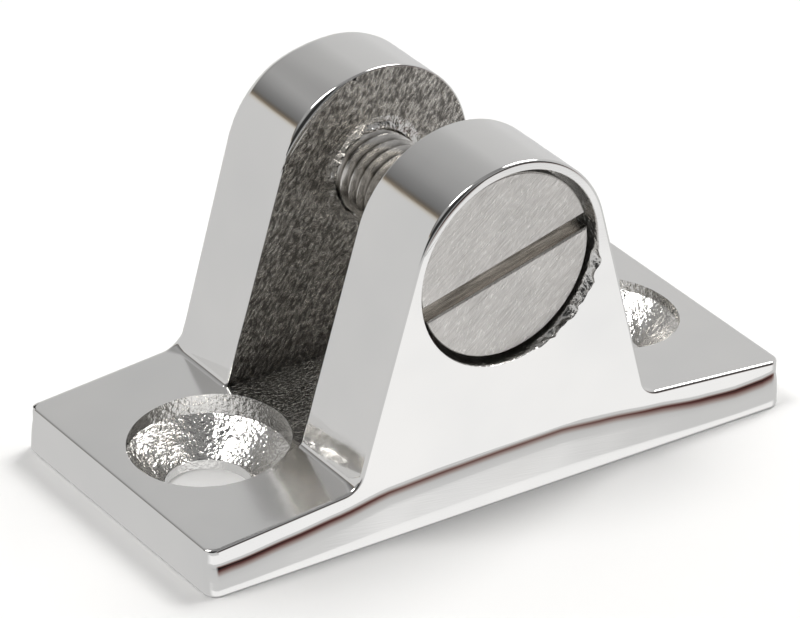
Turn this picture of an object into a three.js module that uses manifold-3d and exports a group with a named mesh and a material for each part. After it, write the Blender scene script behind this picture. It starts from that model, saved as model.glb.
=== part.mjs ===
// Stanchion base: one cast stainless base with a fork, and the slotted screw that crosses the fork.
// Millimetres. X runs along the base plate, Y along the screw with the head at -Y, Z is up.
// The origin is at the centre of the plate's underside, where it sits on the deck.
import * as THREE from 'three';
import { mergeVertices } from 'three/addons/utils/BufferGeometryUtils.js';
import Module from 'manifold-3d';

const wasm = await Module();
wasm.setup();

// Base plate: its top is highest at the ears' feet and falls away to both ends
const PLATE_LENGTH = 60.4;
const PLATE_THICKNESS = 5.7;
const PLATE_END_THICKNESS = 4.4;
const PLATE_CORNER_RADIUS = 1.2;

// Fixing holes, countersunk for M6 flat heads
const HOLE_END_DISTANCE = 9.4;
const RIM_DIAMETER = 14.3;
const RIM_STEP_DEPTH = 2.2;
const FIXING_BORE_DIAMETER = 7.6;
const FIXING_BORE_LENGTH = 0.9;

// Fork: two ears with a round top about the screw, and flanks that spread to their feet
const AXIS_HEIGHT = 22.7;
const EAR_RIM_WALL = 0.9;
const FOOT_PAST_RIM = 1.45;
const HEAD_EAR_THICKNESS = 9;
const THREAD_EAR_THICKNESS = 8.5;
const FORK_GAP = 11.7;
const EAR_LEAN = 0.25;
const FOOT_FILLET_RADIUS = 2;
const FOOT_FILLET_WIDTH = 2;
const SLOT_FILLET_RADIUS = 1;

// Cross screw, M8 with a large slotted cheese head
const THREAD_DIAMETER = 8;
const HEAD_DIAMETER = 17.2;
const HEAD_THICKNESS = 4.4;
const HEAD_EDGE_BEVEL = 0.25;
const HEAD_RECESS = 0.9;
const SLOT_WIDTH = 1.4;
const SLOT_DEPTH = 1.7;
const SLOT_ANGLE = 15;
const SLOT_OFF_CENTRE = 0.3;
const TIP_INSET = 0.6;
const TIP_CHAMFER = 0.9;

// Clearances
const SCREW_CLEARANCE = 0.3;
const HEAD_CLEARANCE = 0.5;
const SEAT_GAP = 0.1;

const CUT_OVERRUN = 1;
const ROUND_SEGMENTS = 64;
const ARC_SEGMENTS = 24;

// Sizes and places that follow from the ones above
const SCREW_BORE_RADIUS = THREAD_DIAMETER / 2 + SCREW_CLEARANCE;
const COUNTERBORE_RADIUS = HEAD_DIAMETER / 2 + HEAD_CLEARANCE;
const EAR_RADIUS = COUNTERBORE_RADIUS + EAR_RIM_WALL;
const HOLE_X = PLATE_LENGTH / 2 - HOLE_END_DISTANCE;
const FOOT_HALF_LENGTH = HOLE_X - RIM_DIAMETER / 2 + FOOT_PAST_RIM;
const FOOT_RISE = AXIS_HEIGHT - PLATE_THICKNESS;
const FOOT_REACH = Math.hypot(FOOT_HALF_LENGTH, FOOT_RISE);
const FLANK_LEAN = Math.acos(EAR_RADIUS / FOOT_REACH) - Math.atan2(FOOT_RISE, FOOT_HALF_LENGTH);
const PLATE_FALL = PLATE_THICKNESS - PLATE_END_THICKNESS;
const PLATE_SLOPE = Math.atan2(PLATE_FALL, PLATE_LENGTH / 2 - FOOT_HALF_LENGTH);
const PLATE_WIDTH = HEAD_EAR_THICKNESS + FORK_GAP + THREAD_EAR_THICKNESS + 2 * EAR_LEAN;
const PLATE_SIDE = PLATE_WIDTH / 2;
const EAR_FACE = PLATE_SIDE - EAR_LEAN;
const HEAD_CHEEK = -EAR_FACE + HEAD_EAR_THICKNESS;
const THREAD_CHEEK = HEAD_CHEEK + FORK_GAP;
const EAR_TOP = AXIS_HEIGHT + EAR_RADIUS;
const HEAD_FACE = -EAR_FACE + HEAD_RECESS;
const HEAD_SEAT = HEAD_FACE + HEAD_THICKNESS;
const COUNTERBORE_FLOOR = HEAD_SEAT + SEAT_GAP;
const SCREW_TIP = EAR_FACE - TIP_INSET;

function toSolid(geometry) {
  geometry.deleteAttribute('normal');
  geometry.deleteAttribute('uv');
  const merged = mergeVertices(geometry);
  const mesh = new wasm.Mesh({
    numProp: 3,
    vertProperties: merged.attributes.position.array,
    triVerts: Uint32Array.from(merged.index.array),
  });
  mesh.merge();
  return new wasm.Manifold(mesh);
}

function toMesh(solid, name, material) {
  const { vertProperties, triVerts } = solid.getMesh();
  const geometry = new THREE.BufferGeometry();
  geometry.setAttribute('position', new THREE.BufferAttribute(vertProperties, 3));
  geometry.setIndex(new THREE.BufferAttribute(triVerts, 1));
  geometry.computeVertexNormals();
  const mesh = new THREE.Mesh(geometry, material);
  mesh.name = name;
  return mesh;
}

// A prism of a side view (x, z) between two stations in y
function prismAlongY(outline, yFrom, yTo) {
  const geometry = new THREE.ExtrudeGeometry(outline, {
    depth: yTo - yFrom,
    bevelEnabled: false,
    curveSegments: ARC_SEGMENTS,
  });
  geometry.rotateX(Math.PI / 2);
  geometry.translate(0, yTo, 0);
  return toSolid(geometry);
}

// A prism of an end view (y, z) that is centred in x
function prismAlongX(outline, length) {
  const geometry = new THREE.ExtrudeGeometry(outline, {
    depth: length,
    bevelEnabled: false,
    curveSegments: ARC_SEGMENTS,
  });
  const alongY = new THREE.Vector3(0, 1, 0);
  const alongZ = new THREE.Vector3(0, 0, 1);
  const alongX = new THREE.Vector3(1, 0, 0);
  geometry.applyMatrix4(new THREE.Matrix4().makeBasis(alongY, alongZ, alongX));
  geometry.translate(-length / 2, 0, 0);
  return toSolid(geometry);
}

// A turned solid: profile points are (radius, height) and the axis stands at (x, 0)
function turnedUpright(profile, x) {
  const geometry = new THREE.LatheGeometry(profile, ROUND_SEGMENTS);
  geometry.rotateX(Math.PI / 2);
  geometry.translate(x, 0, 0);
  return toSolid(geometry);
}

// A turned solid on the screw's axis: profile points are (radius, y)
function turnedOnScrewAxis(profile) {
  const geometry = new THREE.LatheGeometry(profile, ROUND_SEGMENTS);
  geometry.translate(0, 0, AXIS_HEIGHT);
  return toSolid(geometry);
}

function drillOnScrewAxis(radius, yFrom, yTo) {
  return turnedOnScrewAxis([
    new THREE.Vector2(0, yFrom),
    new THREE.Vector2(radius, yFrom),
    new THREE.Vector2(radius, yTo),
    new THREE.Vector2(0, yTo),
  ]);
}

// Plate: rounded corners in plan, and a top that slopes down from the feet to each end
function platePlan() {
  const end = PLATE_LENGTH / 2;
  const side = PLATE_SIDE;
  const r = PLATE_CORNER_RADIUS;
  const outline = new THREE.Shape();
  outline.moveTo(-end + r, -side);
  outline.lineTo(end - r, -side);
  outline.absarc(end - r, -side + r, r, -Math.PI / 2, 0);
  outline.lineTo(end, side - r);
  outline.absarc(end - r, side - r, r, 0, Math.PI / 2);
  outline.lineTo(-end + r, side);
  outline.absarc(-end + r, side - r, r, Math.PI / 2, Math.PI);
  outline.lineTo(-end, -side + r);
  outline.absarc(-end + r, -side + r, r, Math.PI, 1.5 * Math.PI);
  return outline;
}

function plateSideView() {
  const end = PLATE_LENGTH / 2;
  return new THREE.Shape([
    new THREE.Vector2(-end, 0),
    new THREE.Vector2(end, 0),
    new THREE.Vector2(end, PLATE_END_THICKNESS),
    new THREE.Vector2(FOOT_HALF_LENGTH, PLATE_THICKNESS),
    new THREE.Vector2(-FOOT_HALF_LENGTH, PLATE_THICKNESS),
    new THREE.Vector2(-end, PLATE_END_THICKNESS),
  ]);
}

function makePlate() {
  const slab = toSolid(new THREE.ExtrudeGeometry(platePlan(), {
    depth: PLATE_THICKNESS,
    bevelEnabled: false,
    curveSegments: ARC_SEGMENTS / 4,
  }));
  return slab.intersect(prismAlongY(plateSideView(), -PLATE_SIDE, PLATE_SIDE));
}

// Ear side view: straight flanks run up from the feet to where they touch the round top
function earOutline() {
  const outline = new THREE.Shape();
  outline.moveTo(-FOOT_HALF_LENGTH, 0);
  outline.lineTo(FOOT_HALF_LENGTH, 0);
  outline.lineTo(FOOT_HALF_LENGTH, PLATE_THICKNESS);
  outline.absarc(0, AXIS_HEIGHT, EAR_RADIUS, FLANK_LEAN, Math.PI - FLANK_LEAN);
  outline.lineTo(-FOOT_HALF_LENGTH, PLATE_THICKNESS);
  return outline;
}

// The same with a fillet at each foot, tangent to the flank and to the plate's sloping top
function filletedEarOutline() {
  const r = FOOT_FILLET_RADIUS;
  const cornerAngle = Math.PI / 2 + FLANK_LEAN + PLATE_SLOPE;
  const toCentre = r / Math.sin(cornerAngle / 2);
  const centreTilt = (Math.PI / 2 + FLANK_LEAN - PLATE_SLOPE) / 2;
  const centreX = FOOT_HALF_LENGTH + toCentre * Math.cos(centreTilt);
  const centreZ = PLATE_THICKNESS + toCentre * Math.sin(centreTilt);
  const tangentX = centreX - r * Math.sin(PLATE_SLOPE);
  const outline = new THREE.Shape();
  outline.moveTo(-tangentX, 0);
  outline.lineTo(tangentX, 0);
  outline.absarc(centreX, centreZ, r, -Math.PI / 2 - PLATE_SLOPE, -Math.PI + FLANK_LEAN, true);
  outline.absarc(0, AXIS_HEIGHT, EAR_RADIUS, FLANK_LEAN, Math.PI - FLANK_LEAN);
  outline.absarc(-centreX, centreZ, r, -FLANK_LEAN, -Math.PI / 2 + PLATE_SLOPE, true);
  return outline;
}

// Fork end view: both ears lean in a little from the plate's sides, with the slot between them
function forkEndView() {
  const r = SLOT_FILLET_RADIUS;
  const outline = new THREE.Shape();
  outline.moveTo(-PLATE_SIDE, 0);
  outline.lineTo(PLATE_SIDE, 0);
  outline.lineTo(PLATE_SIDE, PLATE_THICKNESS);
  outline.lineTo(EAR_FACE, EAR_TOP);
  outline.lineTo(THREAD_CHEEK, EAR_TOP);
  outline.lineTo(THREAD_CHEEK, PLATE_THICKNESS + r);
  outline.absarc(THREAD_CHEEK - r, PLATE_THICKNESS + r, r, 0, -Math.PI / 2, true);
  outline.lineTo(HEAD_CHEEK + r, PLATE_THICKNESS);
  outline.absarc(HEAD_CHEEK + r, PLATE_THICKNESS + r, r, -Math.PI / 2, -Math.PI, true);
  outline.lineTo(HEAD_CHEEK, EAR_TOP);
  outline.lineTo(-EAR_FACE, EAR_TOP);
  outline.lineTo(-PLATE_SIDE, PLATE_THICKNESS);
  return outline;
}

function makeFork() {
  const outer = PLATE_SIDE;
  const inner = PLATE_SIDE - FOOT_FILLET_WIDTH;
  const ears = prismAlongY(earOutline(), -outer, outer);
  const headFeet = prismAlongY(filletedEarOutline(), -outer, -inner);
  const threadFeet = prismAlongY(filletedEarOutline(), inner, outer);
  const endView = prismAlongX(forkEndView(), PLATE_LENGTH);
  return ears.add(headFeet).add(threadFeet).intersect(endView);
}

// Fixing hole: a short straight step at the rim, a cone, and a straight bore at the bottom
function fixingHoleCutter(x) {
  const rim = RIM_DIAMETER / 2;
  const bore = FIXING_BORE_DIAMETER / 2;
  return turnedUpright([
    new THREE.Vector2(0, -CUT_OVERRUN),
    new THREE.Vector2(bore, -CUT_OVERRUN),
    new THREE.Vector2(bore, FIXING_BORE_LENGTH),
    new THREE.Vector2(rim, PLATE_THICKNESS - RIM_STEP_DEPTH),
    new THREE.Vector2(rim, PLATE_THICKNESS + CUT_OVERRUN),
    new THREE.Vector2(0, PLATE_THICKNESS + CUT_OVERRUN),
  ], x);
}

function makeBaseCasting() {
  const outside = PLATE_SIDE + CUT_OVERRUN;
  return makePlate()
    .add(makeFork())
    .subtract(fixingHoleCutter(-HOLE_X))
    .subtract(fixingHoleCutter(HOLE_X))
    .subtract(drillOnScrewAxis(SCREW_BORE_RADIUS, -outside, outside))
    .subtract(drillOnScrewAxis(COUNTERBORE_RADIUS, -outside, COUNTERBORE_FLOOR));
}

// Screw: turned head and shank, the thread as its outer cylinder, and the slot milled across
function makeCrossScrew() {
  const head = HEAD_DIAMETER / 2;
  const shank = THREAD_DIAMETER / 2;
  const turned = turnedOnScrewAxis([
    new THREE.Vector2(0, HEAD_FACE),
    new THREE.Vector2(head - HEAD_EDGE_BEVEL, HEAD_FACE),
    new THREE.Vector2(head, HEAD_FACE + HEAD_EDGE_BEVEL),
    new THREE.Vector2(head, HEAD_SEAT),
    new THREE.Vector2(shank, HEAD_SEAT),
    new THREE.Vector2(shank, SCREW_TIP - TIP_CHAMFER),
    new THREE.Vector2(shank - TIP_CHAMFER, SCREW_TIP),
    new THREE.Vector2(0, SCREW_TIP),
  ]);
  const slot = new THREE.BoxGeometry(HEAD_DIAMETER + 2 * CUT_OVERRUN, 2 * SLOT_DEPTH, SLOT_WIDTH);
  slot.translate(0, 0, -SLOT_OFF_CENTRE);
  slot.rotateY(-THREE.MathUtils.degToRad(SLOT_ANGLE));
  slot.translate(0, HEAD_FACE, AXIS_HEIGHT);
  return turned.subtract(toSolid(slot));
}

const polishedCasting = new THREE.MeshStandardMaterial({
  color: 0xd2d0cc,
  roughness: 0.12,
  metalness: 1,
});
const turnedSteel = new THREE.MeshStandardMaterial({
  color: 0xb9b4ab,
  roughness: 0.38,
  metalness: 1,
});

const stanchionBase = new THREE.Group();
stanchionBase.add(toMesh(makeBaseCasting(), 'base_casting', polishedCasting));
stanchionBase.add(toMesh(makeCrossScrew(), 'cross_screw', turnedSteel));

export default stanchionBase;
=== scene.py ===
import math

import bmesh
import bpy
from mathutils import Matrix, Vector, noise


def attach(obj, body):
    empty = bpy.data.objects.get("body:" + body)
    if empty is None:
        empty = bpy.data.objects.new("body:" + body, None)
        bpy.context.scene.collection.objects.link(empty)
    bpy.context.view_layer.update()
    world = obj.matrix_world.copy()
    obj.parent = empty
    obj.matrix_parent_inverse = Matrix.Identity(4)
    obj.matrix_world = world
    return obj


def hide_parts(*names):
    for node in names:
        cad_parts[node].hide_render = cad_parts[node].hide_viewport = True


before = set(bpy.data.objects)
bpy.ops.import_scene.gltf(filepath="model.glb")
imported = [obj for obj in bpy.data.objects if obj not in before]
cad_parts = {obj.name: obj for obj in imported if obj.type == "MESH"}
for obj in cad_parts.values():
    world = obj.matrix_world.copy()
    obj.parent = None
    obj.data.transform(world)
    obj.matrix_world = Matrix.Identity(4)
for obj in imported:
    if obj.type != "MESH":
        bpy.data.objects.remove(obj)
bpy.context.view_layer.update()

# Base casting: the plate and both ears of the fork, one stainless investment casting. Its outside
# is ground and mirror polished, which wears the edges round. The slot, both countersinks and the
# tapped hole stay as cast or cut. Two countersunk screws hold it down to the deck.
METRES = 0.001
TINY = 0.001
PLATE_END = 30.2
PLATE_END_TOP = 4.4
PLATE_SIDE = 14.85
PLATE_CORNER_RADIUS = 1.2
FOOT_X = 15.1
FOOT_TOP = 5.7
AXIS_HEIGHT = 22.7
EAR_RADIUS = 10
CHEEK_HALF_GAP = 5.6
THREAD_CHEEK = 6.1
OUTER_FOOT_FILLET = 2
INNER_FOOT_FILLET = 0.6
FOOT_FILLET_WIDTH = 2
FOOT_FILLET_STEPS = 8
ROUND_TOP_STEPS = 48

foot_rise = AXIS_HEIGHT - FOOT_TOP
flank_lean = math.acos(EAR_RADIUS / math.hypot(FOOT_X, foot_rise)) - math.atan2(foot_rise, FOOT_X)
plate_slope = math.atan2(FOOT_TOP - PLATE_END_TOP, PLATE_END - FOOT_X)


def arc(centre_x, centre_z, radius, start, end, steps):
    """Points (x, z) on an arc, both ends included."""
    angles = [start + (end - start) * i / steps for i in range(steps + 1)]
    return [(centre_x + radius * math.cos(a), centre_z + radius * math.sin(a)) for a in angles]


def foot_fillet(radius):
    """The right foot's fillet, from the plate's sloping top round to the flank."""
    corner = math.pi / 2 + flank_lean + plate_slope
    to_centre = radius / math.sin(corner / 2)
    tilt = (math.pi / 2 + flank_lean - plate_slope) / 2
    centre_x = FOOT_X + to_centre * math.cos(tilt)
    centre_z = FOOT_TOP + to_centre * math.sin(tilt)
    start = -math.pi / 2 - plate_slope
    return arc(centre_x, centre_z, radius, start, -math.pi + flank_lean, FOOT_FILLET_STEPS)


def ear_side(radius):
    """The ear's side view from its right foot over the top to its left foot."""
    right = foot_fillet(radius)
    top = arc(0, AXIS_HEIGHT, EAR_RADIUS, flank_lean, math.pi - flank_lean, ROUND_TOP_STEPS)
    return right + top + [(-x, z) for x, z in reversed(right)]


def add_points(bm, points, y):
    return [bm.verts.new((x, y, z)) for x, z in points]


def only(items, kind):
    return [item for item in items if isinstance(item, kind)]


def extruded(bm, faces, dy, kept=()):
    """Extrudes a region along Y, leaves no wall inside but those kept, and returns its end faces."""
    made = bmesh.ops.extrude_face_region(bm, geom=faces)["geom"]
    bmesh.ops.translate(bm, vec=(0, dy, 0), verts=only(made, bmesh.types.BMVert))
    bmesh.ops.delete(bm, geom=[f for f in faces if f not in kept], context="FACES_ONLY")
    return only(made, bmesh.types.BMFace)


def nearest_vert(face, point):
    return min(face.verts, key=lambda v: math.hypot(v.co.x - point[0], v.co.z - point[1]))


def steel(name, colour, roughness):
    """A bare steel: its node tree, its shader and the object's coordinates."""
    material = bpy.data.materials.new(name)
    material.use_nodes = True
    tree = material.node_tree
    shader = tree.nodes["Principled BSDF"]
    shader.inputs["Base Color"].default_value = (*colour, 1)
    shader.inputs["Metallic"].default_value = 1
    shader.inputs["Roughness"].default_value = roughness
    coordinates = tree.nodes.new("ShaderNodeTexCoord").outputs["Object"]
    return material, tree, shader, coordinates


def noise_of(tree, coordinates, size, detail=2, stretch=(1, 1, 1), turn=(0, 0, 0)):
    """A noise whose features are about this many metres across, stretched by the given factors."""
    mapping = tree.nodes.new("ShaderNodeMapping")
    mapping.vector_type = "TEXTURE"
    mapping.inputs["Rotation"].default_value = turn
    mapping.inputs["Scale"].default_value = [size * factor for factor in stretch]
    texture = tree.nodes.new("ShaderNodeTexNoise")
    texture.inputs["Scale"].default_value = 1
    texture.inputs["Detail"].default_value = detail
    tree.links.new(coordinates, mapping.inputs["Vector"])
    tree.links.new(mapping.outputs["Vector"], texture.inputs["Vector"])
    return texture.outputs["Fac"]


def z_of(tree, vector):
    node = tree.nodes.new("ShaderNodeSeparateXYZ")
    tree.links.new(vector, node.inputs[0])
    return node.outputs["Z"]


def ramp(tree, factor, *stops):
    """A colour ramp through (position, colour) stops in order, where a plain number is a grey."""
    node = tree.nodes.new("ShaderNodeValToRGB")
    elements = node.color_ramp.elements
    elements[0].position = stops[0][0]
    elements[-1].position = stops[-1][0]
    for position, _ in stops[1:-1]:
        elements.new(position)
    for element, (_, colour) in zip(elements, stops):
        element.color = (*colour, 1) if isinstance(colour, tuple) else (colour, colour, colour, 1)
    tree.links.new(factor, node.inputs["Fac"])
    return node.outputs["Color"]


def spread(tree, value, low, high):
    """Stretches a range of a value over 0 to 1."""
    node = tree.nodes.new("ShaderNodeMapRange")
    node.inputs["From Min"].default_value = low
    node.inputs["From Max"].default_value = high
    tree.links.new(value, node.inputs["Value"])
    return node.outputs["Result"]


def mixed(tree, kind, amount, first, second):
    """Mixes two colours, each a socket or a colour, by an amount that is a socket or a number."""
    node = tree.nodes.new("ShaderNodeMixRGB")
    node.blend_type = kind
    for name, value in (("Fac", amount), ("Color1", first), ("Color2", second)):
        if isinstance(value, bpy.types.NodeSocket):
            tree.links.new(value, node.inputs[name])
        else:
            node.inputs[name].default_value = value
    return node.outputs["Color"]


def bump(tree, shader, *layers):
    """Stacks bumps of (height, depth in metres, strength) on a shader."""
    below = None
    for height, depth, strength in layers:
        node = tree.nodes.new("ShaderNodeBump")
        node.inputs["Distance"].default_value = depth
        node.inputs["Strength"].default_value = strength
        tree.links.new(height, node.inputs["Height"])
        if below:
            tree.links.new(below, node.inputs["Normal"])
        below = node.outputs["Normal"]
    tree.links.new(below, shader.inputs["Normal"])


def mirror_polished():
    """Buffed to a mirror, with a slow ripple left by the wheel and hairlines from handling."""
    material, tree, shader, at = steel("mirror_polished_steel", (0.86, 0.85, 0.835), 0.05)
    cloud = noise_of(tree, at, 5 * METRES, 4)
    clouded = ramp(tree, cloud, (0.3, 0.035), (0.7, 0.085))
    facing = tree.nodes.new("ShaderNodeTexCoord").outputs["Normal"]
    low = ramp(tree, spread(tree, z_of(tree, at), 0, 10 * METRES), (0.6, 1.0), (0.7, 0.0))
    flat = ramp(tree, spread(tree, z_of(tree, facing), 0, 1), (0.9, 0.0), (0.985, 1.0))
    plate_tops = mixed(tree, "MULTIPLY", 1, low, flat)
    dulled = mixed(tree, "MIX", plate_tops, clouded, (0.13, 0.13, 0.13, 1))
    tree.links.new(dulled, shader.inputs["Roughness"])
    tint = noise_of(tree, at, 9 * METRES, 2)
    tree.links.new(ramp(tree, tint, (0.3, (0.84, 0.835, 0.825)), (0.7, (0.885, 0.875, 0.86))),
                   shader.inputs["Base Color"])
    ripple = noise_of(tree, at, 7 * METRES, 1)
    hairlines = noise_of(tree, at, 0.1 * METRES, 1, stretch=(26, 26, 1), turn=(0.2, 0.1, 0.3))
    bump(tree, shader, (ripple, 0.05 * METRES, 0.5), (hairlines, 0.002 * METRES, 0.25))
    return material


def as_cast():
    """The slot, left as cast and dulled: a drawn-out grain, dark in its pits and bright on its tips, with
    painted shade darkening the colour towards the slot's floor.
    """
    material, tree, shader, at = steel("cast_steel", (0.5, 0.48, 0.45), 0.3)
    grain = noise_of(tree, at, 0.3 * METRES, 3, stretch=(1, 1, 2), turn=(0, 0.5, 0))
    fine = noise_of(tree, at, 0.13 * METRES, 2)
    patches = noise_of(tree, at, 3.5 * METRES, 3)
    height = spread(tree, z_of(tree, at), 0, 40 * METRES)
    # painted shade: the colour is darkened low in the slot, towards its floor, and brightens higher up
    painted_slot_floor_shade = ramp(tree, height, (0.14, 0.36), (0.24, 0.85), (0.7, 1.0))
    tips = ramp(tree, grain, (0.36, (0.22, 0.206, 0.188)), (0.62, (0.80, 0.775, 0.73)))
    tree.links.new(mixed(tree, "MULTIPLY", 1, tips, painted_slot_floor_shade), shader.inputs["Base Color"])
    tree.links.new(ramp(tree, patches, (0.35, 0.13), (0.65, 0.24)), shader.inputs["Roughness"])
    bump(tree, shader, (grain, 0.3 * METRES, 0.9), (fine, 0.09 * METRES, 0.8))
    return material


def bright_cast():
    """The countersinks and torn edges: the same casting under an acid bright dip, so it sparkles."""
    material, tree, shader, at = steel("bright_cast_steel", (0.78, 0.77, 0.75), 0.15)
    lumps_seen = noise_of(tree, at, 0.42 * METRES, 2)
    fine = noise_of(tree, at, 0.2 * METRES, 2)
    tree.links.new(ramp(tree, fine, (0.35, 0.1), (0.65, 0.22)), shader.inputs["Roughness"])
    bump(tree, shader, (lumps_seen, 0.16 * METRES, 0.7), (fine, 0.04 * METRES, 0.5))
    return material


bm = bmesh.new()
inner_ear = ear_side(INNER_FOOT_FILLET)
outer_ear = ear_side(OUTER_FOOT_FILLET)
right_tangent, left_tangent = inner_ear[0], inner_ear[-1]
slab = [
    (-PLATE_END, 0), (PLATE_END, 0), (PLATE_END, PLATE_END_TOP), right_tangent, (FOOT_X, FOOT_TOP),
    (-FOOT_X, FOOT_TOP), left_tangent, (-PLATE_END, PLATE_END_TOP),
]
middle = bm.faces.new(add_points(bm, slab, 0))
slab_end = extruded(bm, [middle], -CHEEK_HALF_GAP)[0]
cheek = bm.faces.new(
    [nearest_vert(slab_end, right_tangent)] + add_points(bm, inner_ear[1:-1], -CHEEK_HALF_GAP)
    + [nearest_vert(slab_end, p) for p in (left_tangent, (-FOOT_X, FOOT_TOP), (FOOT_X, FOOT_TOP))]
)
ends = extruded(bm, [slab_end, cheek], FOOT_FILLET_WIDTH + CHEEK_HALF_GAP - PLATE_SIDE, kept=[cheek])
ends = extruded(bm, ends, -FOOT_FILLET_WIDTH)
for vert in {v for face in ends for v in face.verts}:
    for inner, outer in zip(inner_ear, outer_ear):
        if math.hypot(vert.co.x - inner[0], vert.co.z - inner[1]) < TINY * 0.1:
            vert.co.x, vert.co.z = outer
            break
bmesh.ops.dissolve_faces(bm, faces=ends, use_verts=True)
bmesh.ops.mirror(bm, geom=bm.verts[:] + bm.edges[:] + bm.faces[:], matrix=Matrix.Identity(4),
                 merge_dist=TINY, axis="Y")
for vert in bm.verts:
    if abs(vert.co.y - CHEEK_HALF_GAP) < TINY:
        vert.co.y = THREAD_CHEEK
bmesh.ops.recalc_face_normals(bm, faces=bm.faces)
bmesh.ops.dissolve_limit(bm, angle_limit=math.radians(0.05), verts=bm.verts, edges=bm.edges)
bmesh.ops.delete(bm, geom=[e for e in bm.edges if not e.link_faces], context="EDGES")
corners = [
    e for e in bm.edges
    if all(abs(abs(v.co.x) - PLATE_END) < TINY and abs(abs(v.co.y) - PLATE_SIDE) < TINY for v in e.verts)
    and abs(e.verts[0].co.z - e.verts[1].co.z) > 1
]
bmesh.ops.bevel(bm, geom=corners, offset=PLATE_CORNER_RADIUS, segments=6, profile=0.5, affect="EDGES",
                material=-1)

# Polishing wears each edge back by its own amount
EDGE_ROUND = 0.28
FAR_EDGE_ROUND = 1.5
CHEEK_EDGE_ROUND = 0.15
SHOULDER_ROUND = 0.8
HEAD_EAR_SHOULDER_ROUND = 0.56


def blend(low, high, at, start, end):
    share = min(1, max(0, (at - start) / (end - start)))
    share = share * share * (3 - 2 * share)
    return low + (high - low) * share


def worn_back(edge):
    """How far back an edge of the casting is worn, 0 where it isn't."""
    if len(edge.link_faces) != 2:
        return 0
    angle = edge.calc_face_angle_signed()
    if angle < math.radians(30):
        return 0
    middle = (edge.verts[0].co + edge.verts[1].co) / 2
    around = math.degrees(math.atan2(middle.z - AXIS_HEIGHT, middle.x))
    if around < -90:
        around += 360
    shoulder = blend(0, 1, around, 106, 130) * blend(1, 0, around, 138, 156)
    on_ear = middle.z > FOOT_TOP + 0.05
    if on_ear and middle.y > PLATE_SIDE - 0.01:
        return blend(EDGE_ROUND, FAR_EDGE_ROUND, middle.z, FOOT_TOP, FOOT_TOP + 2)
    if on_ear and middle.y < -PLATE_SIDE + 0.01:
        return EDGE_ROUND + (HEAD_EAR_SHOULDER_ROUND - EDGE_ROUND) * shoulder
    if on_ear and abs(middle.y - THREAD_CHEEK) < TINY:
        return CHEEK_EDGE_ROUND + (SHOULDER_ROUND - CHEEK_EDGE_ROUND) * shoulder
    if on_ear:
        return CHEEK_EDGE_ROUND
    return EDGE_ROUND


weights = bm.edges.layers.float.new("bevel_weight_edge")
for edge in bm.edges:
    edge[weights] = worn_back(edge) / FAR_EDGE_ROUND
mesh = bpy.data.meshes.new("base_casting_polished")
mesh.materials.append(mirror_polished())
mesh.materials.append(as_cast())
mesh.materials.append(bright_cast())
bm.to_mesh(mesh)
bm.free()
casting = bpy.data.objects.new("base_casting_polished", mesh)
bpy.context.scene.collection.objects.link(casting)


def applied(obj):
    """Makes the modifiers' result the object's own mesh."""
    bpy.context.view_layer.update()
    result = bpy.data.meshes.new_from_object(obj.evaluated_get(bpy.context.evaluated_depsgraph_get()))
    obj.modifiers.clear()
    obj.data = result


worn = casting.modifiers.new("worn_edges", "BEVEL")
worn.width = FAR_EDGE_ROUND
worn.segments = 5
worn.limit_method = "WEIGHT"
worn.use_clamp_overlap = False
applied(casting)

# The side bands, the slot's cheeks and its floor are cut into grids while they're still flat
CREASE_ROW = 3
ROWS = [-2.2, -1.9, -1.6, -1.35, -1.1, -0.9, -0.7, -0.5, -0.32, -0.16, 0,
        0.07, 0.15, 0.25, 0.4, 0.65, 0.95]
TOP_ROW = CREASE_ROW + ROWS[-1]
EDGE_STRIP = 1.3
CORNER_ZONE = 2
GRID = 0.5
FINE_GRID = 0.17
TAPPED_RADIUS = 4.12
LIP_REACH = 6.2
CAST = 1
BRIGHT_CAST = 2


def steps_between(start, end, step):
    return [start + step * i for i in range(int((end - start) / step) + 1)]


def cut_faces(bm, faces, point, normal):
    """Cuts faces along a plane and returns all the faces that they're in now."""
    geom = set(faces) | {e for f in faces for e in f.edges} | {v for f in faces for v in f.verts}
    done = bmesh.ops.bisect_plane(bm, geom=list(geom), plane_co=point, plane_no=normal, dist=TINY * 0.01)
    return only(done["geom"], bmesh.types.BMFace)


def on_side(face):
    return all(abs(abs(v.co.y) - PLATE_SIDE) < TINY for v in face.verts)


def round_corner(face):
    if abs(face.normal.z) > 0.01 or abs(face.normal.x) > 0.999:
        return False
    nearest = PLATE_SIDE - PLATE_CORNER_RADIUS - TINY
    return all(abs(v.co.y) > nearest and abs(v.co.x) > PLATE_END - CORNER_ZONE for v in face.verts)


def in_slot(face):
    middle = face.calc_center_median()
    between = -CHEEK_HALF_GAP - TINY < middle.y < THREAD_CHEEK + TINY
    within = middle.z > FOOT_TOP - TINY and abs(middle.x) < FOOT_X
    return between and within and (abs(face.normal.y) > 0.999 or abs(face.normal.z) > 0.999)


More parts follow.
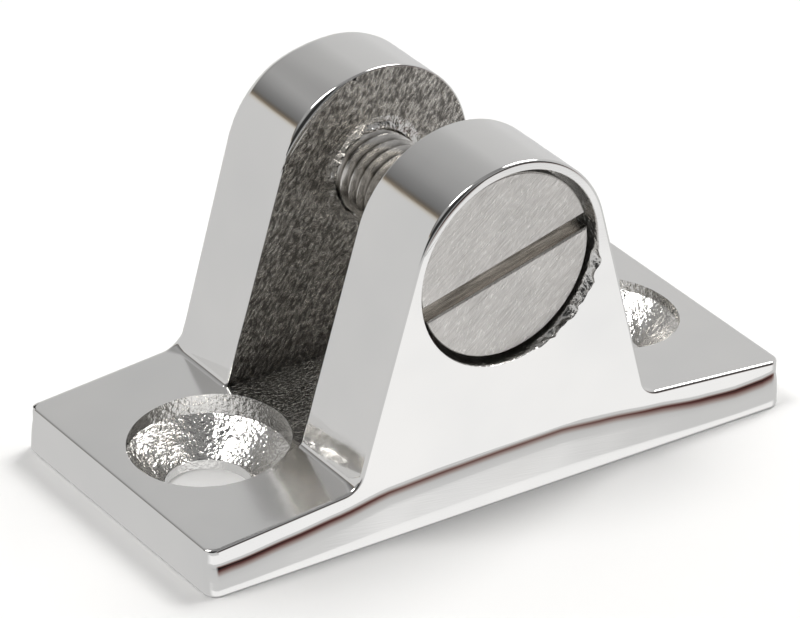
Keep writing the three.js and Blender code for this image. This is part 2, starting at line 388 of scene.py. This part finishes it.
bm = bmesh.new()
bm.from_mesh(casting.data)
bm.normal_update()
top = [f for f in bm.faces if f.normal.z > 0.99 and abs(f.calc_center_median().x) > FOOT_X]
for y in (-PLATE_SIDE + EDGE_STRIP, PLATE_SIDE - EDGE_STRIP):
    top = cut_faces(bm, top, (0, y, 0), (0, 1, 0))
for x in (-PLATE_END + EDGE_STRIP, PLATE_END - EDGE_STRIP):
    top = cut_faces(bm, top, (x, 0, 0), (1, 0, 0))
faces = [f for f in bm.faces if on_side(f) or round_corner(f)]
for row in ROWS:
    faces = cut_faces(bm, faces, (0, 0, CREASE_ROW + row), (0, 0, 1))
band = [f for f in bm.faces if on_side(f) and max(v.co.z for v in f.verts) < TOP_ROW + TINY]
for x in range(1 - int(PLATE_END), int(PLATE_END)):
    band = cut_faces(bm, band, (x, 0, 0), (1, 0, 0))
faces = [f for f in bm.faces if in_slot(f)]
for x in steps_between(-15, 15, GRID):
    faces = cut_faces(bm, faces, (x, 0, 0), (1, 0, 0))
for z in steps_between(6, 32.5, GRID):
    faces = cut_faces(bm, faces, (0, 0, z), (0, 0, 1))
for y in steps_between(-5.3, 5.9, GRID):
    faces = cut_faces(bm, faces, (0, y, 0), (0, 1, 0))


def axis_distance(co):
    """Distance from the cross screw's axis."""
    return math.hypot(co.x, co.z - AXIS_HEIGHT)


def on_thread_cheek(co, reach):
    """Whether a point is on the far ear's cheek within a distance of the screw's axis."""
    return abs(co.y - THREAD_CHEEK) < TINY and axis_distance(co) < reach


lip = [f for f in bm.faces if on_thread_cheek(f.calc_center_median(), LIP_REACH)]
for at in steps_between(-LIP_REACH, LIP_REACH, FINE_GRID):
    lip = cut_faces(bm, lip, (at, 0, 0), (1, 0, 0))
    lip = cut_faces(bm, lip, (0, 0, AXIS_HEIGHT + at), (0, 0, 1))
bm.normal_update()
for face in bm.faces:
    if in_slot(face):
        face.material_index = CAST
bm.to_mesh(casting.data)
bm.free()

# Holes: each cutter is turned from its side view, and the countersinks' walls are lumpy as cast
HOLE_X = 20.8
RIM_RADIUS = 7.15
RIM_STEP = 3.5
FIXING_BORE_RADIUS = 3.8
FIXING_BORE_TOP = 0.9
CONE_ROWS = 18
COUNTERBORE_RADIUS = 9.1
COUNTERBORE_FLOOR = -9.2
SCREW_BORE_RADIUS = 4.3
LIP_ROUND = 0.1
CHIPPED_DEPTH = 0.95
CUTTER_SIDES = 176
COUNTERBORE_SIDES = 240
TAPPED_SIDES = 96
PAST = 3


def turned(name, profile, place, axis, steps, shape=None):
    """A closed solid turned from (radius, distance along the axis) points."""
    bm = bmesh.new()
    chain = [bm.verts.new(Vector((1, 0, 0)) * r + Vector(axis) * d) for r, d in profile]
    for a, b in zip(chain, chain[1:]):
        bm.edges.new((a, b))
    bmesh.ops.spin(bm, geom=bm.verts[:] + bm.edges[:], cent=(0, 0, 0), axis=axis, angle=2 * math.pi,
                   steps=steps, use_merge=True)
    bmesh.ops.remove_doubles(bm, verts=bm.verts, dist=TINY * 0.1)
    bmesh.ops.recalc_face_normals(bm, faces=bm.faces)
    bmesh.ops.translate(bm, verts=bm.verts, vec=place)
    if shape:
        shape(bm)
    for face in bm.faces:
        face.smooth = True
        face.material_index = BRIGHT_CAST
    mesh = bpy.data.meshes.new(name)
    bm.to_mesh(mesh)
    bm.free()
    obj = bpy.data.objects.new(name, mesh)
    bpy.context.scene.collection.objects.link(obj)
    return obj


def lumps(co, size, seed):
    """Smooth noise between about -1 and 1, with lumps of a given size."""
    return noise.noise(co / size + Vector((seed, seed * 0.7, seed * 1.3)))


def lumpy_countersink(bm):
    for vert in bm.verts:
        centre_x = math.copysign(HOLE_X, vert.co.x)
        out = Vector((vert.co.x - centre_x, vert.co.y, 0))
        if not FIXING_BORE_TOP + 0.05 < vert.co.z < 4.2 or out.length < 1:
            continue
        push = 0.07 * lumps(vert.co, 0.9, 4) + 0.045 * lumps(vert.co, 0.45, 6)
        vert.co += out.normalized() * push * blend(1, 0, vert.co.z, 3.7, 4.2)


def chipped_rim(bm):
    """The counterbore broke out ragged along its lower right."""
    for vert in bm.verts:
        out = Vector((vert.co.x, 0, vert.co.z - AXIS_HEIGHT))
        inward = vert.co.y + PLATE_SIDE
        if out.length < COUNTERBORE_RADIUS - 0.01 or inward > CHIPPED_DEPTH:
            continue
        angle = math.degrees(math.atan2(out.z, out.x))
        chipped = blend(0, 1, angle, -76, -58) * blend(1, 0, angle, -12, 3)
        at = Vector((vert.co.x, max(vert.co.y, -PLATE_SIDE), vert.co.z))
        bite = 0.38 + 0.4 * lumps(at, 1.3, 12) + 0.3 * lumps(at, 0.5, 15)
        vert.co += out.normalized() * max(0, bite) * chipped * blend(1, 0, inward, 0, CHIPPED_DEPTH)


countersink = [(0, -PAST), (FIXING_BORE_RADIUS, -PAST), (FIXING_BORE_RADIUS, FIXING_BORE_TOP)]
for i in range(1, CONE_ROWS + 1):
    radius = FIXING_BORE_RADIUS + (RIM_RADIUS - 0.15 - FIXING_BORE_RADIUS) * i / CONE_ROWS
    countersink.append((radius, FIXING_BORE_TOP + (RIM_STEP - FIXING_BORE_TOP) * i / CONE_ROWS))
countersink += [(RIM_RADIUS, RIM_STEP + d) for d in (0.12, 0.3, 0.5, 0.7, 0.9, 1.1)]
countersink += [(RIM_RADIUS, FOOT_TOP + PAST), (0, FOOT_TOP + PAST)]
counterbore = [
    (0, -PLATE_SIDE - PAST), (COUNTERBORE_RADIUS + LIP_ROUND, -PLATE_SIDE - PAST),
    (COUNTERBORE_RADIUS + LIP_ROUND, -PLATE_SIDE - 0.05),
    (COUNTERBORE_RADIUS + LIP_ROUND * 0.4, -PLATE_SIDE + 0.03),
]
counterbore += [(COUNTERBORE_RADIUS, d - PLATE_SIDE) for d in (0.1, 0.22, 0.36, 0.52, 0.7, 0.96, 1.3)]
counterbore += [(COUNTERBORE_RADIUS, COUNTERBORE_FLOOR), (SCREW_BORE_RADIUS, COUNTERBORE_FLOOR),
                (SCREW_BORE_RADIUS, 0), (0, 0)]
tapped = [
    (0, 0), (TAPPED_RADIUS, 0), (TAPPED_RADIUS, PLATE_SIDE - 0.6),
    (TAPPED_RADIUS + 0.65, PLATE_SIDE + 0.05), (TAPPED_RADIUS + 0.65, PLATE_SIDE + PAST),
    (0, PLATE_SIDE + PAST),
]
screw_axis = (0, 0, AXIS_HEIGHT)
cutters = [
    turned("left_fixing_cutter", countersink, (-HOLE_X, 0, 0), (0, 0, 1), CUTTER_SIDES,
           lumpy_countersink),
    turned("right_fixing_cutter", countersink, (HOLE_X, 0, 0), (0, 0, 1), CUTTER_SIDES,
           lumpy_countersink),
    turned("counterbore_cutter", counterbore, screw_axis, (0, 1, 0), COUNTERBORE_SIDES, chipped_rim),
    turned("tapped_hole_cutter", tapped, screw_axis, (0, 1, 0), TAPPED_SIDES),
]
for cutter in cutters:
    hole = casting.modifiers.new(cutter.name, "BOOLEAN")
    hole.operation = "DIFFERENCE"
    hole.solver = "MANIFOLD"
    hole.object = cutter
applied(casting)
for cutter in cutters:
    bpy.data.objects.remove(cutter)

# The slot is pitted and swollen as cast, and tapping tore a raised lip round the far ear's hole
TORN_WIDTH = 1.1
LIP_HEIGHT = 0.42
bm = bmesh.new()
bm.from_mesh(casting.data)
bm.normal_update()
slot_faces = {f for f in bm.faces if f.material_index == CAST and in_slot(f)}
for face in slot_faces:
    if on_thread_cheek(face.calc_center_median(), TAPPED_RADIUS + TORN_WIDTH):
        face.material_index = BRIGHT_CAST
for vert in bm.verts:
    if not any(f in slot_faces for f in vert.link_faces):
        continue
    inside = all(f in slot_faces for f in vert.link_faces)
    radius = axis_distance(vert.co)
    push = 0.05 * lumps(vert.co, 1.6, 3) + 0.03 * lumps(vert.co, 0.7, 5) if inside else 0
    away = vert.normal
    if on_thread_cheek(vert.co, LIP_REACH):
        away = Vector((0, -1, 0))
        torn = 0.5 + 0.5 * lumps(vert.co, 0.9, 9) + 0.35 * lumps(vert.co, 0.35, 2)
        reach = TAPPED_RADIUS + (0.75 + 0.25 * lumps(vert.co, 1.5, 7))
        push += LIP_HEIGHT * torn * blend(1, 0, radius, TAPPED_RADIUS + 0.15, reach)
    vert.co += away * push

# The plate's lower sides were left proud when the ears' faces were ground, so a soft shoulder
# rolls in to a crease that climbs towards the middle
SHOULDER_STEP = 0.38
SIDE_DRAFT = 0.18
ROLL = 1.35
GROUND_FROM = 2.2
GROUND_TO = 0.3
ROOM_ABOVE_CREASE = 0.36
CREASE = [(-30.2, 2.85), (-27, 2.95), (-22, 3.45), (-17, 4.0), (-12, 4.8), (-6, 5.05), (0, 5.2),
          (6, 5.25), (11, 4.75), (16, 4.1), (21, 3.4), (25, 3.1), (28, 3.2), (30.2, 3.6)]

# The far ear's left side is fuller towards its far edge: degrees round the axis, and millimetres
FULLNESS = [(95, 0), (105, 0.1), (115, 0.36), (125, 0.62), (135, 0.74), (150, 0.8), (164, 0.7), (180, 0.65)]
FULLNESS_SHARE = 0.8
FULLER_FROM = 7.5


def stretch_at(points, at):
    """The two neighbouring (place, value) points that a place lies between."""
    for first, second in zip(points, points[1:]):
        if at <= second[0]:
            break
    return first, second


def fullness(co):
    if co.x >= 0.5:
        return 0
    around = math.degrees(math.atan2(co.z - AXIS_HEIGHT, co.x))
    around = 180 if around < -90 else max(95, around)
    (a0, f0), (a1, f1) = stretch_at(FULLNESS, around)
    amount = f0 + (f1 - f0) * (around - a0) / (a1 - a0)
    return amount * blend(0, 1, co.y, FULLER_FROM, 14) * blend(0, 1, co.z, FOOT_TOP + 0.5, FOOT_TOP + 6)


def crease_height(x):
    (x0, z0), (x1, z1) = stretch_at(CREASE, x)
    straight = z0 + (z1 - z0) * (x - x0) / (x1 - x0)
    return 0.6 * straight + 0.4 * blend(z0, z1, x, x0, x1)


def plate_top(x):
    return FOOT_TOP - max(0, abs(x) - FOOT_X) * math.tan(plate_slope)


def inside_corner(co):
    """Pulls a point that lies past the plate's round corner back onto it."""
    centre = Vector((math.copysign(PLATE_END - PLATE_CORNER_RADIUS, co.x),
                     math.copysign(PLATE_SIDE - PLATE_CORNER_RADIUS, co.y), co.z))
    out = co - centre
    if out.x * centre.x > 0 and out.y * centre.y > 0 and out.length > PLATE_CORNER_RADIUS:
        return centre + out.normalized() * PLATE_CORNER_RADIUS
    return co


for vert in bm.verts:
    vert.co.z = min(vert.co.z, AXIS_HEIGHT + EAR_RADIUS)
    vert.co = inside_corner(vert.co)
    x, y, z = vert.co
    if y > FULLER_FROM and z > FOOT_TOP + 0.5:
        around = min(math.pi - flank_lean, max(math.pi / 2, math.atan2(z - AXIS_HEIGHT, x)))
        if z < AXIS_HEIGHT and x < 0:
            around = math.pi - flank_lean
        vert.co += Vector((math.cos(around), 0, math.sin(around))) * fullness(vert.co) * FULLNESS_SHARE
    x, y, z = vert.co
    depth = blend(0, 1, abs(y), PLATE_SIDE - GROUND_FROM, PLATE_SIDE - GROUND_TO)
    if not depth:
        continue
    crease = crease_height(x)
    step = SHOULDER_STEP
    if z < TOP_ROW + TINY:
        if z <= CREASE_ROW:
            z = z * crease / CREASE_ROW
        else:
            room = min(TOP_ROW - CREASE_ROW, plate_top(x) - ROOM_ABOVE_CREASE - crease)
            z = crease + (z - CREASE_ROW) * room / (TOP_ROW - CREASE_ROW)
        if depth > 0.999:
            vert.co.z = z
        draft = SIDE_DRAFT * min(1, z / crease)
        rolled = min(1, max(0, 1 + (z - crease) / ROLL))
        rolled = 0.92 * rolled * rolled + 0.08 * blend(0, 1, z, crease, crease + 0.25)
        step = draft + (SHOULDER_STEP - SIDE_DRAFT) * rolled
    vert.co.y = y - math.copysign(step * depth, y)
bm.to_mesh(casting.data)
bm.free()
casting.data.transform(Matrix.Scale(METRES, 4))
for poly in casting.data.polygons:
    poly.use_smooth = True
casting.data.set_sharp_from_angle(angle=math.radians(32))
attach(casting, "base")
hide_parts("base_casting")
smooth = casting.modifiers.new("flat_faces_stay_flat", "WEIGHTED_NORMAL")
smooth.keep_sharp = True
smooth.weight = 100

# Cross screw: turned from stainless bar, with a wide head slotted for a driver or a coin, and an
# M8 thread rolled along its shank. It drops into the counterbore and screws into the far ear.
HEAD_RADIUS = 8.6
HEAD_FACE = -13.7
HEAD_SEAT = -9.3
HEAD_EDGE_ROUND = 0.26
SLOT_WIDTH = 1.5
SLOT_DEPTH = 1.7
SLOT_TURN = math.radians(15)
SLOT_OFF_CENTRE = 0.3
HEAD_SIDES = 128
SHANK_RADIUS = 4
THREAD_PITCH = 1.25
THREAD_DEPTH = 0.72
THREAD_START = -8.4
NECK_RADIUS = 3.65
NECK_OVERLAP = 0.3
SCREW_TIP = 14.0
TIP_CHAMFER = 0.9
STEPS_PER_TURN = 48
THREAD = 1
MILLED = 2


bm = bmesh.new()
bmesh.ops.create_circle(bm, cap_ends=True, segments=HEAD_SIDES, radius=HEAD_RADIUS)
for edge_of_slot in (-SLOT_OFF_CENTRE - SLOT_WIDTH / 2, -SLOT_OFF_CENTRE + SLOT_WIDTH / 2):
    bmesh.ops.bisect_plane(bm, geom=bm.verts[:] + bm.edges[:] + bm.faces[:],
                           plane_co=(0, edge_of_slot, 0), plane_no=(0, 1, 0))
made = bmesh.ops.extrude_face_region(bm, geom=bm.faces[:])["geom"]
bmesh.ops.translate(bm, vec=(0, 0, HEAD_SEAT - HEAD_FACE - SLOT_DEPTH), verts=only(made, bmesh.types.BMVert))
lands = [
    f for f in only(made, bmesh.types.BMFace)
    if abs(f.calc_center_median().y + SLOT_OFF_CENTRE) > SLOT_WIDTH / 2
]
made = bmesh.ops.extrude_face_region(bm, geom=lands)["geom"]
bmesh.ops.translate(bm, vec=(0, 0, SLOT_DEPTH), verts=only(made, bmesh.types.BMVert))
bmesh.ops.delete(bm, geom=lands, context="FACES_ONLY")
bmesh.ops.recalc_face_normals(bm, faces=bm.faces)
bmesh.ops.dissolve_limit(bm, angle_limit=math.radians(0.1), verts=bm.verts, edges=bm.edges)
head_top = HEAD_SEAT - HEAD_FACE
rims = [
    e for e in bm.edges
    if len(e.link_faces) == 2 and e.calc_face_angle() > math.radians(60)
    and all(abs(v.co.z - head_top) < TINY for v in e.verts)
]
bmesh.ops.bevel(bm, geom=rims, offset=HEAD_EDGE_ROUND, segments=4, profile=0.5, affect="EDGES", material=-1,
                clamp_overlap=True)
bmesh.ops.rotate(bm, verts=bm.verts, cent=(0, 0, 0), matrix=Matrix.Rotation(math.radians(90), 3, "X"))
bmesh.ops.rotate(bm, verts=bm.verts, cent=(0, 0, 0), matrix=Matrix.Rotation(-SLOT_TURN, 3, "Y"))
bmesh.ops.translate(bm, verts=bm.verts, vec=(0, HEAD_SEAT, AXIS_HEIGHT))

# The thread: one pitch of its side view, swept along a helix, then cut off square at both ends
thread = bmesh.new()
flank_start, crest_start, crest_end = 0.13, 0.57, 0.70
side_view = [(SHANK_RADIUS - THREAD_DEPTH, 0), (SHANK_RADIUS - THREAD_DEPTH, flank_start),
             (SHANK_RADIUS - 0.06, crest_start - 0.03), (SHANK_RADIUS, crest_start + 0.02),
             (SHANK_RADIUS, crest_end - 0.02), (SHANK_RADIUS - 0.06, crest_end + 0.03),
             (SHANK_RADIUS - THREAD_DEPTH, THREAD_PITCH)]
chain = [thread.verts.new((r, THREAD_START - 2 * THREAD_PITCH + d, 0)) for r, d in side_view]
for a, b in zip(chain, chain[1:]):
    thread.edges.new((a, b))
turns = math.ceil((SCREW_TIP - THREAD_START) / THREAD_PITCH) + 4
bmesh.ops.spin(thread, geom=thread.verts[:] + thread.edges[:], cent=(0, 0, 0), axis=(0, 1, 0),
               dvec=(0, THREAD_PITCH / STEPS_PER_TURN, 0), angle=-2 * math.pi * turns,
               steps=turns * STEPS_PER_TURN)
bmesh.ops.remove_doubles(thread, verts=thread.verts, dist=TINY)
for end, out in ((THREAD_START, -1), (SCREW_TIP, 1)):
    done = bmesh.ops.bisect_plane(thread, geom=thread.verts[:] + thread.edges[:] + thread.faces[:],
                                  plane_co=(0, end, 0), plane_no=(0, out, 0), clear_outer=True)
    bmesh.ops.contextual_create(thread, geom=only(done["geom_cut"], bmesh.types.BMEdge))
for vert in thread.verts:
    past = vert.co.y - (SCREW_TIP - TIP_CHAMFER)
    radius = math.hypot(vert.co.x, vert.co.z)
    if past > 0 and radius > SHANK_RADIUS - past:
        shrink = (SHANK_RADIUS - past) / radius
        vert.co.x *= shrink
        vert.co.z *= shrink
bmesh.ops.translate(thread, verts=thread.verts, vec=screw_axis)
bmesh.ops.recalc_face_normals(thread, faces=thread.faces)
thread_mesh = bpy.data.meshes.new("thread")
thread.to_mesh(thread_mesh)
thread.free()
neck_start, neck_end = HEAD_SEAT - 0.4, THREAD_START + NECK_OVERLAP
neck = turned("neck", [(0, neck_start), (NECK_RADIUS, neck_start), (NECK_RADIUS, neck_end), (0, neck_end)],
              screw_axis, (0, 1, 0), 64)
bm.from_mesh(thread_mesh)
bm.from_mesh(neck.data)
bpy.data.objects.remove(neck)
slot_floor = HEAD_FACE + SLOT_DEPTH
for face in bm.faces:
    face.smooth = True
    middle = face.calc_center_median()
    slot_wall = abs(face.normal.y) < 0.1 and axis_distance(middle) < HEAD_RADIUS - 0.1
    if min(v.co.y for v in face.verts) > HEAD_SEAT - 0.5:
        face.material_index = THREAD
    elif abs(middle.y - slot_floor) < 0.05 or slot_wall:
        face.material_index = MILLED
mesh = bpy.data.meshes.new("cross_screw_turned")
bm.to_mesh(mesh)
bm.free()
mesh.transform(Matrix.Scale(METRES, 4))
mesh.set_sharp_from_angle(angle=math.radians(34))
screw = bpy.data.objects.new("cross_screw_turned", mesh)
bpy.context.scene.collection.objects.link(screw)


def about_axis(tree, coordinates):
    """Coordinates measured from the screw's axis."""
    mapping = tree.nodes.new("ShaderNodeMapping")
    mapping.vector_type = "TEXTURE"
    mapping.inputs["Location"].default_value = (0, 0, AXIS_HEIGHT * METRES)
    tree.links.new(coordinates, mapping.inputs["Vector"])
    return mapping.outputs["Vector"]


def satin_turned():
    """Faced on a lathe and rubbed dull: faint rings, fine scratches crossing, and a few deep ones."""
    material, tree, shader, at = steel("satin_steel", (0.7, 0.685, 0.66), 0.34)
    at = about_axis(tree, at)
    rings = tree.nodes.new("ShaderNodeTexWave")
    rings.wave_type = "RINGS"
    rings.rings_direction = "Y"
    rings.inputs["Scale"].default_value = 1 / (2.6 * METRES)
    rings.inputs["Distortion"].default_value = 1.5
    rings.inputs["Detail Scale"].default_value = 3
    tree.links.new(at, rings.inputs["Vector"])
    rubbed = noise_of(tree, at, 0.085 * METRES, 3, stretch=(24, 24, 1), turn=(0, -0.66, 0))
    crossing = noise_of(tree, at, 0.09 * METRES, 2, stretch=(5, 5, 1), turn=(0, -1.1, 0))
    deep = noise_of(tree, at, 0.16 * METRES, 1, stretch=(40, 40, 1), turn=(0, -0.5, 0))
    faced = noise_of(tree, at, 3.2 * METRES, 4)
    streaks = ramp(tree, rubbed, (0.3, (0.70, 0.685, 0.66)), (0.7, (0.92, 0.90, 0.87)))
    worn_patches = ramp(tree, faced, (0.36, 0.92), (0.62, 1.0))
    tree.links.new(mixed(tree, "MULTIPLY", 1, streaks, worn_patches), shader.inputs["Base Color"])
    tree.links.new(ramp(tree, crossing, (0.3, 0.24), (0.7, 0.5)), shader.inputs["Roughness"])
    gouges = ramp(tree, deep, (0.24, 0.0), (0.32, 1.0))
    bump(tree, shader, (rings.outputs["Color"], 0.004 * METRES, 0.35), (rubbed, 0.05 * METRES, 0.6),
         (crossing, 0.02 * METRES, 0.2), (gouges, 0.02 * METRES, 0.35))
    return material


def rolled_thread():
    """Rolled bright on the crests, with painted shade darkening the colour down in the grooves."""
    material, tree, shader, at = steel("thread_steel", (0.74, 0.72, 0.69), 0.13)
    across = tree.nodes.new("ShaderNodeVectorMath")
    across.operation = "MULTIPLY"
    across.inputs[1].default_value = (1, 0, 1)
    tree.links.new(about_axis(tree, at), across.inputs[0])
    out = tree.nodes.new("ShaderNodeVectorMath")
    out.operation = "LENGTH"
    tree.links.new(across.outputs["Vector"], out.inputs[0])
    depth = spread(tree, out.outputs["Value"], 3.2 * METRES, SHANK_RADIUS * METRES)
    scuffs = noise_of(tree, at, 0.25 * METRES, 3, stretch=(4, 1, 4))
    bright = ramp(tree, scuffs, (0.34, (0.66, 0.64, 0.61)), (0.6, (0.84, 0.82, 0.79)))
    # painted shade: the colour darkens down in the grooves of the thread
    painted_groove_shade = ramp(tree, depth, (0.1, (0.16, 0.14, 0.12)), (0.75, 1.0))
    tree.links.new(mixed(tree, "MULTIPLY", 1, bright, painted_groove_shade), shader.inputs["Base Color"])
    tree.links.new(ramp(tree, scuffs, (0.3, 0.09), (0.7, 0.2)), shader.inputs["Roughness"])
    bump(tree, shader, (scuffs, 0.006 * METRES, 0.4))
    return material


def milled_slot():
    """Cut with a slitting saw: drag lines run along the slot."""
    material, tree, shader, at = steel("milled_steel", (0.55, 0.53, 0.5), 0.22)
    drag = noise_of(tree, at, 0.09 * METRES, 3, stretch=(26, 1, 1), turn=(0, -SLOT_TURN, 0))
    broad = noise_of(tree, at, 0.35 * METRES, 1, stretch=(14, 1, 1), turn=(0, -SLOT_TURN, 0))
    tree.links.new(ramp(tree, broad, (0.35, (0.50, 0.48, 0.45)), (0.62, (0.90, 0.87, 0.83))),
                   shader.inputs["Base Color"])
    tree.links.new(ramp(tree, drag, (0.3, 0.14), (0.7, 0.34)), shader.inputs["Roughness"])
    bump(tree, shader, (drag, 0.03 * METRES, 0.8), (broad, 0.05 * METRES, 0.5))
    return material


mesh.materials.append(satin_turned())
mesh.materials.append(rolled_thread())
mesh.materials.append(milled_slot())
smooth = screw.modifiers.new("flat_faces_stay_flat", "WEIGHTED_NORMAL")
smooth.keep_sharp = True
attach(screw, "screw")
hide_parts("cross_screw")

# Studio: a plain pale matt floor under soft, even light. Mirror reflections skip the floor, since
# the surroundings below already hold the white table and the room that a polished casting shows.
bm = bmesh.new()
bmesh.ops.create_circle(bm, cap_ends=True, segments=96, radius=3)
mesh = bpy.data.meshes.new("floor")
bm.to_mesh(mesh)
bm.free()
floor = bpy.data.objects.new("floor", mesh)
bpy.context.scene.collection.objects.link(floor)
pale = bpy.data.materials.new("pale_floor")
pale.use_nodes = True
matt = pale.node_tree.nodes["Principled BSDF"]
matt.inputs["Base Color"].default_value = (0.9, 0.9, 0.9, 1)
matt.inputs["Roughness"].default_value = 0.9
floor.data.materials.append(pale)
floor.visible_glossy = False

# What the mirror finish shows: a pale card behind on the left up to a third of the way up, grey
# walls, the dark room behind the camera with the white table below it, and two soft lamps above
world = bpy.data.worlds.new("studio")
world.use_nodes = True
tree = world.node_tree
direction = tree.nodes.new("ShaderNodeTexCoord").outputs["Generated"]
parts = tree.nodes.new("ShaderNodeSeparateXYZ")
tree.links.new(direction, parts.inputs[0])
LOWEST, HIGHEST = -0.6, 1.0


def at_height(*stops):
    """A ramp through colours at given heights of the direction."""
    spaced = [((z - LOWEST) / (HIGHEST - LOWEST), colour) for z, colour in stops]
    return ramp(tree, spread(tree, parts.outputs["Z"], LOWEST, HIGHEST), *spaced)


def within(place, inner, outer):
    """1 within a cap of directions round a place, fading to 0 between two angles in degrees."""
    dot = tree.nodes.new("ShaderNodeVectorMath")
    dot.operation = "DOT_PRODUCT"
    dot.inputs[1].default_value = Vector(place).normalized()
    tree.links.new(direction, dot.inputs[0])
    return spread(tree, dot.outputs["Value"], math.cos(math.radians(outer)), math.cos(math.radians(inner)))


behind_left = at_height(
    (-0.55, 0.64), (0.43, 0.65), (0.455, (0.60, 0.57, 0.52)), (0.475, (0.24, 0.20, 0.15)),
    (0.50, (0.13, 0.115, 0.10)), (0.53, 0.17), (0.60, 0.24), (0.66, 0.33), (0.70, 0.38), (0.85, 0.3),
)
behind_right = at_height(
    (-0.55, 0.64), (0.0, 0.68), (0.15, 0.64), (0.45, 0.60), (0.60, 0.57), (0.72, 0.50), (0.85, 0.2),
)
front = at_height(
    (-0.52, 1.0), (-0.482, 0.97), (-0.455, 0.66), (-0.30, 0.58), (-0.20, (0.34, 0.27, 0.25)),
    (-0.12, (0.12, 0.05, 0.045)), (-0.05, 0.01), (0.34, 0.012), (0.50, 0.3), (0.85, 0.12),
)
front_sides = at_height(
    (-0.52, 1.0), (-0.482, 0.97), (-0.455, 0.66), (-0.10, 0.62),
    (0.0, 0.5), (0.3, 0.4), (0.6, 0.36), (0.85, 0.2),
)
behind = mixed(tree, "MIX", spread(tree, parts.outputs["X"], -0.1, 0.42), behind_left, behind_right)
front = mixed(tree, "MIX", within((0.50, -0.86, -0.05), 26, 40), front_sides, front)
around = mixed(tree, "MIX", spread(tree, parts.outputs["Y"], -0.25, -0.6), behind, front)
around = mixed(tree, "MIX", within((-0.50, -0.71, 0.50), 20, 36), around, (0.03, 0.03, 0.03, 1))
lamps = mixed(tree, "ADD", 1, within((-0.38, 0.16, 0.91), 10, 13), within((0.6, 0.1, 0.79), 13, 17))
LAMP_STRENGTH = 10
strength = tree.nodes.new("ShaderNodeMapRange")
strength.inputs["To Min"].default_value = 1
strength.inputs["To Max"].default_value = LAMP_STRENGTH
background = tree.nodes["Background"]
tree.links.new(lamps, strength.inputs["Value"])
tree.links.new(mixed(tree, "MIX", lamps, around, (1, 0.99, 0.97, 1)), background.inputs["Color"])
tree.links.new(strength.outputs["Result"], background.inputs["Strength"])
bpy.context.scene.world = world

CAMERA_PLACE = Vector((-254.00, -358.25, 261.74)) * METRES
LOOKS_ALONG = Vector((0.50119, 0.71001, -0.49467))
CAMERA_RIGHT = Vector((0.82414, -0.56593, 0.02271))
LENS = 261.23
lens = bpy.data.cameras.new("camera")
lens.lens = LENS
lens.sensor_width = 36
lens.clip_start = 0.01
camera = bpy.data.objects.new("camera", lens)
bpy.context.scene.collection.objects.link(camera)
camera_up = CAMERA_RIGHT.cross(LOOKS_ALONG).normalized()
turn = Matrix((CAMERA_RIGHT, camera_up, -LOOKS_ALONG)).transposed().to_4x4()
camera.matrix_world = Matrix.Translation(CAMERA_PLACE) @ turn
bpy.context.scene.camera = camera
bpy.context.scene.view_settings.view_transform = "Standard"
